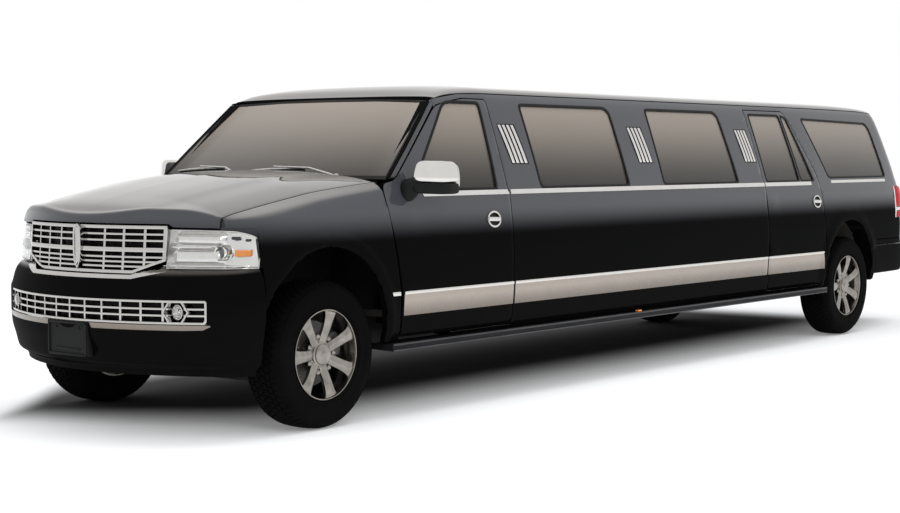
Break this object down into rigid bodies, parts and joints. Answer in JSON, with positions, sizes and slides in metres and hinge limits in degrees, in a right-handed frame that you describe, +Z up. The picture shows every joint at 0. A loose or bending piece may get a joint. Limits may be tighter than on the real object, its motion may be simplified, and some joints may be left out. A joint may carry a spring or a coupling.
{
  "type": "stretch limousine",
  "caption": "Long four-door passenger limousine on a ladder frame, with opening doors, bonnet and tailgate, steered front wheels and a lounge cabin.",
  "frame": {"origin": "on the ground, midway along the length and across the width", "axes": "+X forward, +Y to the vehicle's left, +Z up"},
  "size_m": [8.715, 2.3794, 1.915],
  "materials": {
    "black_paint": "gloss",
    "black_plastic": "satin",
    "chrome": "polished",
    "tinted_glass": "gloss",
    "lamp_lens": "gloss",
    "red_lens": "gloss",
    "tyre_rubber": "matte",
    "frame_steel": "satin",
    "cast_iron": "rough",
    "leather": "satin"
  },
  "bodies": {
    "root": {"chassis_frame": "frame_steel", "floor_pan": "frame_steel", "body_side_left": "black_paint", "body_side_right": "black_paint", "roof": "black_paint", "front_wings": "black_paint", "front_structure": "frame_steel", "front_bumper": "black_paint", "rear_bumper": "black_paint", "windscreen": "tinted_glass", "side_glass": "tinted_glass", "grille": "chrome", "lower_grille": "chrome", "headlamps": "lamp_lens", "tail_lamps": "red_lens", "running_boards": "black_plastic", "plate_bracket": "black_plastic", "front_suspension": "frame_steel", "rear_suspension": "frame_steel", "driveline": "frame_steel", "engine_block": "cast_iron", "dashboard": "black_plastic", "seats": "leather"},
    "knuckle_left": {"knuckle_left": "frame_steel"},
    "knuckle_right": {"knuckle_right": "frame_steel"},
    "wheel_front_left": {"tyre_front_left": "tyre_rubber", "wheel_front_left": "chrome"},
    "wheel_front_right": {"tyre_front_right": "tyre_rubber", "wheel_front_right": "chrome"},
    "wheel_rear_left": {"tyre_rear_left": "tyre_rubber", "wheel_rear_left": "chrome"},
    "wheel_rear_right": {"tyre_rear_right": "tyre_rubber", "wheel_rear_right": "chrome"},
    "door_front_left": {"door_front_left": "black_paint", "door_glass_front_left": "tinted_glass", "mirror_left": "chrome"},
    "door_front_right": {"door_front_right": "black_paint", "door_glass_front_right": "tinted_glass", "mirror_right": "chrome"},
    "door_rear_left": {"door_rear_left": "black_paint", "door_glass_rear_left": "tinted_glass"},
    "door_rear_right": {"door_rear_right": "black_paint", "door_glass_rear_right": "tinted_glass"},
    "bonnet": {"bonnet": "black_paint"},
    "tailgate": {"tailgate": "black_paint", "tailgate_glass": "tinted_glass"},
    "steering_wheel": {"steering_wheel": "leather"}
  },
  "joints": [
    {"name": "steer_left", "type": "hinge", "parent": "root", "child": "knuckle_left", "pos_m": [3.3875, 0.8, 0.405], "axis": [0, 0, 1], "range_deg": [-32, 32]},
    {"name": "steer_right", "type": "hinge", "parent": "root", "child": "knuckle_right", "pos_m": [3.3875, -0.8, 0.405], "axis": [0, 0, 1], "range_deg": [-32, 32]},
    {"name": "steering_wheel_turn", "type": "hinge", "parent": "root", "child": "steering_wheel", "pos_m": [2.3025, 0.4, 1.085], "axis": [-0.9063, 0, 0.4226], "range_deg": [-480, 480]},
    {"name": "spin_front_left", "type": "hinge", "parent": "knuckle_left", "child": "wheel_front_left", "pos_m": [3.3875, 0.845, 0.405], "axis": [0, 1, 0], "continuous": true},
    {"name": "spin_front_right", "type": "hinge", "parent": "knuckle_right", "child": "wheel_front_right", "pos_m": [3.3875, -0.845, 0.405], "axis": [0, 1, 0], "continuous": true},
    {"name": "spin_rear_left", "type": "hinge", "parent": "root", "child": "wheel_rear_left", "pos_m": [-2.9875, 0.845, 0.405], "axis": [0, 1, 0], "continuous": true},
    {"name": "spin_rear_right", "type": "hinge", "parent": "root", "child": "wheel_rear_right", "pos_m": [-2.9875, -0.845, 0.405], "axis": [0, 1, 0], "continuous": true},
    {"name": "open_front_left_door", "type": "hinge", "parent": "root", "child": "door_front_left", "pos_m": [2.7305, 0.98257, 0.9], "axis": [0, 0, -1], "range_deg": [0, 65]},
    {"name": "open_rear_left_door", "type": "hinge", "parent": "root", "child": "door_rear_left", "pos_m": [-1.6275, 0.984, 0.9], "axis": [0, 0, -1], "range_deg": [0, 65]},
    {"name": "open_front_right_door", "type": "hinge", "parent": "root", "child": "door_front_right", "pos_m": [2.7305, -0.98257, 0.9], "axis": [0, 0, 1], "range_deg": [0, 65]},
    {"name": "open_rear_right_door", "type": "hinge", "parent": "root", "child": "door_rear_right", "pos_m": [-1.6275, -0.984, 0.9], "axis": [0, 0, 1], "range_deg": [0, 65]},
    {"name": "open_bonnet", "type": "hinge", "parent": "root", "child": "bonnet", "pos_m": [2.925, 0, 1.32], "axis": [0, -1, 0], "range_deg": [0, 45]},
    {"name": "open_tailgate", "type": "hinge", "parent": "root", "child": "tailgate", "pos_m": [-3.945, 0, 1.812], "axis": [0, 1, 0], "range_deg": [0, 80]}
  ],
  "couplings": [
    {"joint": "steer_right", "follows": "steer_left", "ratio": 1},
    {"joint": "steering_wheel_turn", "follows": "steer_left", "ratio": 15}
  ]
}
